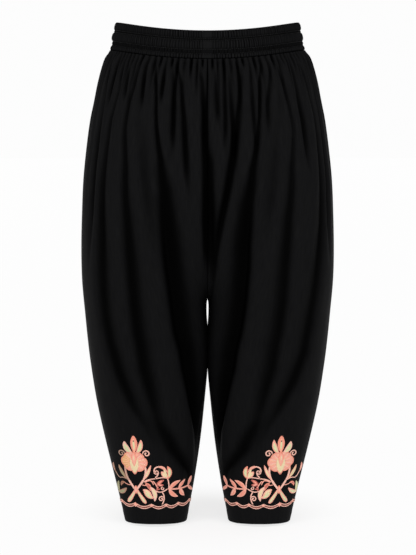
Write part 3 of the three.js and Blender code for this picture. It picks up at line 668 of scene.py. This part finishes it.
def band_stitches():
    """Bars of six sides and four rings, laid end to end along the stitch lines round the waist."""
    count = int(2 * HALF_ROUND / STITCH_LENGTH)
    start = np.arange(count)[:, None, None]
    ring, thick = STITCH_RINGS[:, 0][None, :, None], STITCH_RINGS[:, 1][None, :, None]
    turn = np.linspace(0, 2 * np.pi, STITCH_SIDES, endpoint=False)[None, None, :]
    sign, t = round_the_waist((start + ring) * STITCH_LENGTH / HALF_ROUND + 0 * turn)

    index = np.arange(t.size).reshape(t.shape)
    a, b = index[:, :-1], index[:, 1:]
    sides = np.stack([a, b, np.roll(b, -1, 2), np.roll(a, -1, 2)], -1).reshape(-1, 4)
    first, last = ([index[:, end][:, order] for order in ([0, 1, 2, 5], [2, 3, 4, 5])] for end in (0, -1))
    faces = np.concatenate([sides[:, ::-1], *(cap[:, ::-1] for cap in first), *last])
    uv, colour = np.zeros((len(faces), 4, 2)), np.tile(BLACK_THREAD, (t.size, 1))

    patches = []
    for line in STITCH_LINES:
        level = mix(BAND_FOOT, BAND_HEIGHT / 2, line) + thick * np.sin(turn)
        lift = STITCH_PROUD - BAND_SET_IN + thick * np.cos(turn)
        points = smooth_point(t, level) + outward(t, level) * lift[..., None]
        points[..., 2] -= dip_at(t)
        points[..., 0] *= sign
        patches.append(Patch(points.reshape(-1, 3), faces, uv, colour))
    return joined(patches)


stitches = make_piece("waistband_stitches", band_stitches(), THREAD)

# %% [markdown]
# ## Satin stitch strokes
#
# A machine embroidery is built from strokes: a path, a width that swells and tapers, and threads laid
# across it. Here a stroke is a path drawn in the flat, carried onto the leg. Its section is a low dome on a
# flat underside that is tucked just into the cloth. Strokes that come later lie a little higher, as they do
# when one colour is stitched over another.

# %% Flat paths onto the leg
def leg_point(sign, half, across, level, lift):
    """A point over the cloth from its distance across the leg, as seen from the front or the back."""
    side, inner, _, _ = outline_at(level)
    t = np.arccos(np.clip(2 * across / (side - inner), -0.98, 0.98)) / (2 * np.pi)
    return cloth_point(sign, t if half == 0 else 1 - t, level, lift)


DOME = np.cos(np.linspace(0, np.pi, 8))
SECTION_ACROSS = np.concatenate([DOME, [-0.7, 0.7]])
SECTION_UP = np.concatenate([np.sqrt(np.maximum(0, 1 - DOME**2)), [-0.35, -0.35]])
FIRST_LAYER, LAYER_STEP = 0.15, 0.16  # how high the layers of stitching lie over the cloth
FULL_PILE, FAN_PILE = 0.75, 0.4  # how high the threads of a stroke stand over its layer


def widths(kind, s):
    """Half width along a stroke as a share of its widest: a leaf swells and tapers to two tips, a foot
    widens to a blunt end, a stem stays even."""
    if kind == "leaf":
        return np.sin(np.pi * np.clip(0.04 + 0.93 * s, 0, 1)) ** 0.75
    if kind == "foot":
        return (0.3 + 0.7 * np.clip(s * 1.25, 0, 1) ** 0.8) * np.sqrt(np.clip((1.03 - s) / 0.12, 0, 1))
    return np.clip(np.minimum(s, 1 - s) * 14 + 0.25, 0, 1)


def lidded_tube(points, u, v, colour):
    """A tube from a row of points for each ring, closed by a lid at both ends, its faces out."""
    tube = grid(points.transpose(1, 0, 2), u, v, wrap_rows=True, colour=colour)
    columns, rows = points.shape[:2]
    lid = np.array([(n, n + 1, rows - 2 - n, rows - 1 - n) for n in range(rows // 2 - 1)]) * columns
    faces = np.concatenate([tube.faces, lid, (lid + columns - 1)[:, ::-1]])
    uv = np.concatenate([tube.uv, np.zeros((2 * len(lid), 4, 2))])
    return facing_out(Patch(tube.points, faces, uv, tube.colour))


def stroke_patch(sign, half, path, wide, kind, colour, layer, pile=FULL_PILE):
    """A domed tube along a flat path: rings across it, each point carried onto the leg at its own lift."""
    s = np.linspace(0, 1, len(path))
    run = np.gradient(path, axis=0)
    run = run / np.maximum(np.linalg.norm(run, axis=1, keepdims=True), 1e-6)
    aside = np.stack([-run[:, 1], run[:, 0]], -1)[:, None]
    off = widths(kind, s)[:, None] * wide / 2
    flat = path[:, None, :] + (off * SECTION_ACROSS)[..., None] * aside
    rise = pile * np.minimum(1, 0.35 + off / 2)
    lift = FIRST_LAYER + LAYER_STEP * layer + rise * SECTION_UP
    points = leg_point(sign, half, flat[..., 0], flat[..., 1], lift)
    steps = np.linalg.norm(np.diff(path, axis=0), axis=1)
    length = np.concatenate([[0], np.cumsum(steps)]) / 1000
    around = np.append(SECTION_ACROSS, 1) * wide / 2000
    return lidded_tube(points, length, around, colour)


def bent(start, bend, end, count=22):
    """A curve from start to end pulled towards bend."""
    s = np.linspace(0, 1, count)[:, None]
    return (1 - s) ** 2 * np.array(start) + 2 * s * (1 - s) * np.array(bend) + s**2 * np.array(end)


def spiral(centre, radius, from_degrees, turns, count=34):
    """A curl that starts on its rim and winds in to nearly its centre."""
    s = np.linspace(0, 1, count)
    angle = np.radians(from_degrees) + 2 * np.pi * turns * s
    reach = radius * (1 - 0.8 * s)
    return np.array(centre) + np.stack([reach * np.cos(angle), reach * np.sin(angle)], -1)


# %% [markdown]
# ## The drawing of one motif
#
# The motif is a common garden ornament: a flower with three petals on two crossed stems, a scrolling
# branch with a bud, and a vine of small leaves. Across is the distance in millimetres from the middle of
# the leg towards the inseam, and level the height. Later rows lie over earlier ones. The four motifs are
# the same drawing, turned over for the other leg and laid on the back as well.

# %% Strokes of the motif
Stroke = namedtuple("Stroke", "kind thread wide start bend end layer fill", defaults=[None])
STROKES = [Stroke(*row) for row in (
    ("leaf", CORAL, 13, (-32, -744), (-31, -727), (-31.5, -713), 0),
    ("leaf", PEACH, 6.5, (-31.5, -743), (-31.5, -730), (-31.5, -717), 1, SAGE),
    ("leaf", BLACK_THREAD, 2.4, (-31.5, -725), (-31.5, -723), (-31.5, -721), 3),
    ("leaf", PINK, 10.6, (-35.5, -747), (-49, -739), (-48.5, -725), 1, SAGE),
    ("leaf", SALMON, 9.2, (-28.5, -747), (-18, -736), (-18, -720), 1, SAGE),
    ("stem", PINK, 3.6, (-49.5, -772), (-52, -788), (-44, -800), 0),
    ("stem", PINK, 3.9, (-44.5, -799), (-41, -806), (-31, -820), 1),
    ("stem", PINK, 3.6, (-13.5, -771), (-11, -784), (-18, -797), 0),
    ("stem", PINK, 3.9, (-17.5, -796), (-24, -807), (-35, -821), 0),
    ("foot", SALMON, 7.2, (-31, -811), (-35, -823), (-47.5, -842.5), 2, SAGE),
    ("foot", SALMON, 7.2, (-33, -811), (-29, -822), (-15, -841.5), 2, SAGE),
    ("leaf", CORAL, 6, (-32, -808), (-32.5, -816), (-32, -824), 4, PINK),
    ("leaf", PEACH, 6.2, (-48.5, -797), (-58, -788), (-62.5, -773), 0, SAGE),
    ("leaf", SALMON, 6.2, (-16, -795), (-9, -784), (-3, -768), 0, SAND),
    ("stem", PINK, 2.0, (-17, -800), (-9, -794), (4, -794), 0),
    ("stem", PINK, 2.0, (4, -794), (16, -791), (24, -793), 0),
    ("stem", SALMON, 2.0, (-16, -802), (-3, -791), (0, -806), 1),
    ("stem", SALMON, 2.0, (-1, -798), (4, -803), (7, -812), 1),
    ("stem", PINK, 2.2, (3.5, -792), (9, -788), (10, -782), 0),
    ("stem", PINK, 2.6, (2.5, -782), (1, -771), (13, -771), 0),
    ("leaf", SALMON, 5.2, (9, -771.5), (20, -770), (25.5, -783), 0),
    ("leaf", CORAL, 8.6, (25, -795), (34, -783), (26.5, -771), 1, SAGE),
    ("leaf", SALMON, 9, (26, -794), (20, -787), (15, -780.5), 2, SAND),
    ("leaf", SAND, 4.6, (25, -791), (21, -783), (20.5, -776), 3),
    ("stem", PINK, 2.2, (25.5, -794), (28.5, -803), (27, -814), 0),
    ("leaf", ROSE, 6.4, (6, -808), (10, -800), (19, -797), 0, CORAL),
    ("leaf", ROSE, 5.6, (6, -802), (11, -808), (18, -806), 1, SALMON),
    ("leaf", ROSE, 3.6, (6, -818), (6, -812), (9, -809), 0),
    ("leaf", ROSE, 2.4, (7, -814), (9, -815), (12, -813), 1),
    ("stem", PINK, 2.0, (3, -817), (12, -824), (25, -814), 0),
    ("stem", SALMON, 1.6, (-21, -806), (-16, -808), (-12, -806), 0),
    ("leaf", CORAL, 7.2, (-15, -804), (-7, -805), (-6, -817), 0, ROSE),
    ("leaf", SALMON, 8.6, (-4, -826), (-12, -818), (-19.5, -815.5), 1, SAND),
    ("leaf", SALMON, 9.2, (-1, -831), (-10, -828), (-18, -817.5), 2, SAGE),
    ("leaf", PINK, 8.6, (-6, -810), (5, -820), (1, -837), 3, SAND),
    ("stem", PINK, 2.2, (15, -820), (22, -831), (14, -844), 0),
    ("stem", SALMON, 3.0, (25, -814), (42, -818), (62, -815), 0),
    ("leaf", SALMON, 7.6, (28, -816), (34, -805), (48, -801), 1, CORAL),
    ("leaf", SALMON, 8, (28, -814), (31, -827), (42.5, -831), 1, CORAL),
    ("leaf", SALMON, 6.2, (45, -816), (48, -808), (57.5, -801), 1, CORAL),
    ("leaf", SALMON, 7.4, (48, -815.5), (47.5, -825), (54, -832), 1, CORAL),
    ("leaf", PINK, 2.4, (49, -818), (49.5, -823), (52, -828), 4),
    ("leaf", SALMON, 5, (61, -816), (66, -811), (70.5, -800), 1, CORAL),
    ("leaf", SALMON, 5, (61, -814), (65, -820), (68.5, -828), 1, CORAL),
    ("stem", PINK, 1.8, (-46, -799), (-56, -794), (-62, -799), 0),
    ("stem", PINK, 1.8, (-62, -798), (-66, -796), (-70, -788), 0),
    ("leaf", SALMON, 4.6, (-70, -789), (-75, -782), (-73, -772), 0, PINK),
    ("stem", SALMON, 1.6, (-41, -808), (-46, -810), (-53, -806), 0),
    ("leaf", CORAL, 5, (-52, -806), (-59, -804), (-60, -814), 0, ROSE),
    ("leaf", SALMON, 8, (-50, -816), (-58, -828), (-67, -829), 1, SAGE),
    ("leaf", SAGE, 5.5, (-64, -806), (-68, -818), (-64, -830), 2),
)]
Curl = namedtuple("Curl", "thread wide centre radius from_degrees turns")
CURLS = [
    Curl(PINK, 2.2, (-55.5, -749), 6.6, -10, 1.3),
    Curl(PINK, 2.3, (-9.5, -746), 6.8, 190, -1.3),
    Curl(PINK, 2.0, (6.5, -781), 4.6, 180, 1.2),
    Curl(PINK, 2.0, (13, -833), 5.2, 20, 1.3),
    Curl(PINK, 1.8, (16.5, -813), 3.4, 90, 1.05),
]
print(len(STROKES), "strokes and", len(CURLS), "curls to a motif")

# %% [markdown]
# ## The flower's body
#
# The round body is filled with threads that fan out from its heart over a ground of stitches, and a thin
# coral line follows its scalloped rim. The rim is an oval with three lobes a side and a pointed foot. On the
# fill lie a pale pointed shape, a salmon drop edged in coral and a pale core, each stitched over the last.

# %% Body of the flower
BODY_CENTRE = np.array([-32.6, -762.5])
BODY_HALF_WIDTH, BODY_HALF_HEIGHT = 20.9, 16.8
EDGE_WIDE = 2.4  # a fill is this much narrower than its stroke, so that the stroke's edge shows
AMBER_BEYOND = -0.75  # on the wearer's right leg the fan is amber further out than this cosine
Heart = namedtuple("Heart", "wide top foot colour layer")
HEARTS = [Heart(16, 15, -20.5, SAND, 4.5), Heart(11.5, 18, -8, CORAL, 5.5),
          Heart(9, 16.5, -6.5, SALMON, 6.5), Heart(3, 14, 1, SAND, 7.5)]


def body_rim(angle, share=1.0):
    """Points on the rim: an oval whose radius swells in lobes 50 degrees apart and runs out to a foot."""
    rise = np.arcsin(np.sin(angle))
    oval = 1 / np.hypot(np.cos(angle) / BODY_HALF_WIDTH, np.sin(angle) / BODY_HALF_HEIGHT)
    lobes = 2.6 * np.abs(np.cos(3.6 * rise)) ** 0.55
    foot = 5.2 * np.exp(-(((rise + np.pi / 2) / 0.17) ** 2))
    reach = (oval + lobes + foot) * share
    return BODY_CENTRE + reach[..., None] * np.stack([np.cos(angle), np.sin(angle)], -1)


def body_ground(sign, half):
    """A low cushion that fills the rim: rings of points from the middle out, closed underneath."""
    angle = np.linspace(0, 2 * np.pi, 96, endpoint=False)
    share = np.concatenate([np.linspace(0.02, 0.96, 12), [0.985, 0.96, 0.5, 0.02]])
    up = np.concatenate([np.full(12, 0.75), [0.4, -0.25, -0.25, -0.25]])
    flat = body_rim(angle[None, :], share[:, None])
    points = leg_point(sign, half, flat[..., 0], flat[..., 1], up[:, None] + 0 * angle)
    outer = smooth((-0.55 - np.cos(angle[None, :])) / 0.3) * smooth((share[:, None] - 0.45) / 0.3)
    amber = outer * (sign < 0)
    fleck = 0.94 + 0.06 * np.sin(7 * angle[None, :] + 40 * share[:, None]) * np.cos(23 * angle[None, :])
    colour = mix(np.array(SALMON), np.array(AMBER), amber[..., None]) * fleck[..., None]
    around, along = np.linspace(0, 0.12, 97), np.append(share, 0) / 25
    return facing_out(grid(points, around, along, wrap_rows=True, wrap_columns=True, colour=colour))


def body_strokes(sign):
    """Over the ground: a fan of fine leaves, the rim, and the shapes at its heart. A row is what
    stroke_patch takes after the side and the half."""
    for n, angle in enumerate(np.radians(np.linspace(-84, 264, 49))):
        path = mix(body_rim(angle, 0.34), body_rim(angle, 0.95), np.linspace(0, 1, 8)[:, None])
        outer = sign < 0 and np.cos(angle) <= AMBER_BEYOND
        threads = (AMBER, PEACH) if outer else (SALMON, PEACH, PINK, SALMON)
        colour = threads[n % len(threads)]
        yield path, 1.9, "leaf", colour, 3.4, FAN_PILE
    yield body_rim(np.radians(np.linspace(-90, 270, 110))), 1.5, "stem", CORAL, 3
    for heart in HEARTS:
        heights = (heart.top, 0.5 * (heart.top + heart.foot), heart.foot)
        path = bent(*(BODY_CENTRE + (0, height) for height in heights), 24)
        yield path, heart.wide, "leaf", heart.colour, heart.layer


def with_painted_side_shade(colour, sign, across):
    """The thread's colour, dulled towards a dark olive on the outer side of the wearer's right leg: painted
    shade where that side turns away from the light.
    """
    return mix(np.array(colour), np.array(PAINTED_SIDE_SHADE), 0.62 * smooth((-44 - across) / 9) * (sign < 0))


def drawn_strokes(sign):
    """Such rows for every stroke, with its fill a little higher and inside it, and for the curls."""
    for stroke in STROKES:
        path = bent(stroke.start, stroke.bend, stroke.end)
        across = path[11, 0]
        yield path, stroke.wide, stroke.kind, with_painted_side_shade(stroke.thread, sign, across), stroke.layer
        if stroke.fill:
            inner = path[3:-3] if stroke.kind == "leaf" else path[7:-1]
            fill = with_painted_side_shade(stroke.fill, sign, across)
            yield inner, stroke.wide - EDGE_WIDE, stroke.kind, fill, stroke.layer + 1.2
    for curl in CURLS:
        path = spiral(curl.centre, curl.radius, curl.from_degrees, curl.turns)
        yield path, curl.wide, "stem", with_painted_side_shade(curl.thread, sign, curl.centre[0]), 1


def motif_patch(sign, half):
    rows = [*body_strokes(sign), *drawn_strokes(sign)]
    return joined([body_ground(sign, half)] + [stroke_patch(sign, half, *row) for row in rows])


motifs = {}
for side, sign, where, half in QUARTERS:
    name = f"flower_{where}_{side}"
    motifs[name] = make_piece(f"embroidered_{name}", motif_patch(sign, half), THREAD)

# %% [markdown]
# ## The scalloped border
#
# Under the motifs a border runs right round each hem: two pink lines with a thin rose line between them,
# hanging in shallow scallops, with a small diamond where two scallops meet. Each line is a closed tube
# along its path round the leg, so it has no ends to hide.

# %% Border
CORD_LEVEL, CORD_SAG = -845.0, 5.0
CORD_ROUND = 0.46  # metres of stitching round one hem, on the UV map
CUSPS = np.array([0.056, 0.138, 0.198, 0.262, 0.337, 0.43, 0.57, 0.663, 0.738, 0.802, 0.862, 0.944])
BORDER_POINTS, LINE_SIDES = 336, 8
KNOT_SIZE, LEG_ROUND = 3.0, 380
KNOT_UNDER_FLOWER = 4  # the number of the cusp with the largest diamond


def border_level(t):
    """The border's height at a place round the leg: an arch of a sine wave between one cusp and the next."""
    places = np.concatenate([CUSPS[-1:] - 1, CUSPS, CUSPS[:1] + 1])
    arch = np.interp(t, places, np.arange(len(places))) % 1
    return CORD_LEVEL - CORD_SAG * np.sin(np.pi * arch)


def border_line(sign, offset, wide, colour, layer):
    """One closed line of the border, moved up or down from its middle."""
    t = np.linspace(0, 1, BORDER_POINTS, endpoint=False)
    turn = np.linspace(0, 2 * np.pi, LINE_SIDES, endpoint=False)
    level = (border_level(t) + offset)[:, None] + wide / 2 * np.sin(turn)
    lift = FIRST_LAYER + LAYER_STEP * layer + np.maximum(0.7 * np.cos(turn), -0.3)
    points = cloth_point(sign, t[:, None] + 0 * turn, level, lift + 0 * level)
    u = np.linspace(0, CORD_ROUND, len(t) + 1)
    v = np.linspace(0, wide / 500, LINE_SIDES + 1)
    patch = grid(points.transpose(1, 0, 2), u, v, wrap_rows=True, wrap_columns=True, colour=colour)
    return facing_out(patch)


def knot_patch(sign, number):
    """A small diamond where two scallops meet: a short wide leaf laid up and down over the line."""
    t = CUSPS[number]
    middle = border_level(t) - 0.5
    reach = KNOT_SIZE * (1.5 if number == KNOT_UNDER_FLOWER else 1)
    s = np.linspace(-1, 1, 9)
    across = SECTION_ACROSS[None, :] * (reach * (1.02 - np.abs(s)))[:, None] / LEG_ROUND
    lift = 0.7 + 0.7 * SECTION_UP[None, :] + 0 * across
    points = cloth_point(sign, (t + across) % 1, middle + reach * s[:, None] + 0 * across, lift)
    return lidded_tube(points, s / 250, np.append(SECTION_ACROSS, 1) / 250, SALMON)


borders = {}
for side, sign in SIDES:
    lines = [
        border_line(sign, 2.0, 1.7, PINK, 1),
        border_line(sign, -2.0, 1.7, PINK, 1),
        border_line(sign, 0.0, 0.8, ROSE, 0),
    ]
    knots = [knot_patch(sign, number) for number in range(len(CUSPS))]
    borders[side] = make_piece(f"scalloped_border_{side}", joined(lines + knots), THREAD)

# %% [markdown]
# ## What each piece stands for
#
# Every piece rides on the body of the frame, and each piece but the stitches replaces the plain solid that it
# was made for, which is hidden.

def stand_for(piece, node):
    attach(piece, "root")
    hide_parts(node)


for node, panel in panels.items():
    stand_for(panel, node)
stand_for(waistband, "waistband")
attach(stitches, "root")
for node, motif in motifs.items():
    stand_for(motif, node)
for side, border in borders.items():
    stand_for(border, f"hem_cord_{side}")
print("pieces declared:", len(panels) + len(motifs) + len(borders) + 2)

# %% [markdown]
# ## Studio
#
# The photograph has a seamless white ground and very even light, so the cloth shows its folds by shade
# alone. A white sky does most of it. Two softboxes stand at the sides, because light that grazes across a
# fold shows its form, and a third hangs above. The paper floor glows a little by itself and more so further
# off, so that it meets the white sky without an edge and still takes a faint shadow under the hems.

# %% Floor, sky and lights
FLOOR_HEIGHT, FLOOR_REACH = -0.8875, 30.0
SHADOW_NEAR, SHADOW_FAR = 0.1, 0.32  # from the middle of the floor; beyond it the paper only glows
LIGHTS_AIM = (0, 0, -0.4)
SKY_SEEN, SKY_LIGHT = 0.98, 0.42


def flat_floor():
    """A square of white paper under the hems, its glow and its own white fading into each other."""
    square = ((-1, -1), (1, -1), (1, 1), (-1, 1))
    corners = [(x * FLOOR_REACH, y * FLOOR_REACH, FLOOR_HEIGHT) for x, y in square]
    mesh = bpy.data.meshes.new("studio_floor")
    mesh.from_pydata(corners, [], [(0, 1, 2, 3)])
    material, tree, shader = new_material("white paper")
    place = add_node(tree, "TexCoord").outputs["Object"]
    level_place = add_node(tree, "Mapping", {"Vector": place, "Scale": (1, 1, 0)}).outputs["Vector"]
    distance = add_node(tree, "VectorMath", {0: level_place}, operation="LENGTH").outputs["Value"]
    feed(shader, {"Emission Color": (1, 1, 1, 1), "Roughness": 0.9, "Specular IOR Level": 0.05})
    for socket, near, far in (("Base Color", 0.3, 0.0), ("Emission Strength", 0.73, 0.975)):
        ends = {"From Min": SHADOW_NEAR, "From Max": SHADOW_FAR, "To Min": near, "To Max": far}
        faded = add_node(tree, "MapRange", {"Value": distance, **ends}, interpolation_type="SMOOTHSTEP")
        feed(shader, {socket: faded.outputs["Result"]})
    mesh.materials.append(material)
    return add_object(mesh.name, mesh)


def facing(place, target):
    """The rotation of a lamp or a camera that looks from one place at another."""
    return (Vector(target) - Vector(place)).to_track_quat("-Z", "Y").to_euler()


def soft_light(name, place, size, watts):
    light = bpy.data.lights.new(name, "AREA")
    light.shape = "RECTANGLE"
    light.size, light.size_y = size
    light.energy = watts
    lamp = add_object(name, light)
    lamp.location, lamp.rotation_euler = place, facing(place, LIGHTS_AIM)


flat_floor()
soft_light("left softbox", (-2.2, -1.9, 0.5), (1.0, 2.0), 34)
soft_light("right softbox", (2.2, -1.9, 0.5), (1.0, 2.0), 34)
soft_light("top softbox", (0, -1.6, 2.2), (1.6, 1.2), 22)
world = bpy.data.worlds.new("white studio")
world.use_nodes = True
sky = world.node_tree
seen = sky.nodes["Background"]
feed(seen, {"Color": (SKY_SEEN, SKY_SEEN, SKY_SEEN, 1)})
lighting = add_node(sky, "Background", {"Color": (1, 1, 1, 1), "Strength": SKY_LIGHT})
camera_ray = add_node(sky, "LightPath").outputs["Is Camera Ray"]
either = add_node(sky, "MixShader", {0: camera_ray, 1: lighting.outputs[0], 2: seen.outputs[0]})
feed(sky.nodes["World Output"], {"Surface": either.outputs[0]})
bpy.context.scene.world = world
bpy.context.scene.view_settings.view_transform = "Standard"

# %% [markdown]
# ## Camera
#
# The picture was taken from straight in front, a little above the middle of the trousers, with a lens long
# enough to keep the legs straight. From 2.8 metres away and sixteen centimetres below the waist, the widths
# at the hips and the hems and the curve of the waist come out as in the photograph.

# %% The camera
CAMERA_PLACE, CAMERA_AIM = (0.0009, -2.8, -0.1563), (0.0009, 0, -0.4363)
lens = bpy.data.cameras.new("camera")
lens.lens, lens.sensor_width = 99.74, 36
camera = add_object("camera", lens)
camera.location, camera.rotation_euler = CAMERA_PLACE, facing(CAMERA_PLACE, CAMERA_AIM)
bpy.context.scene.camera = camera
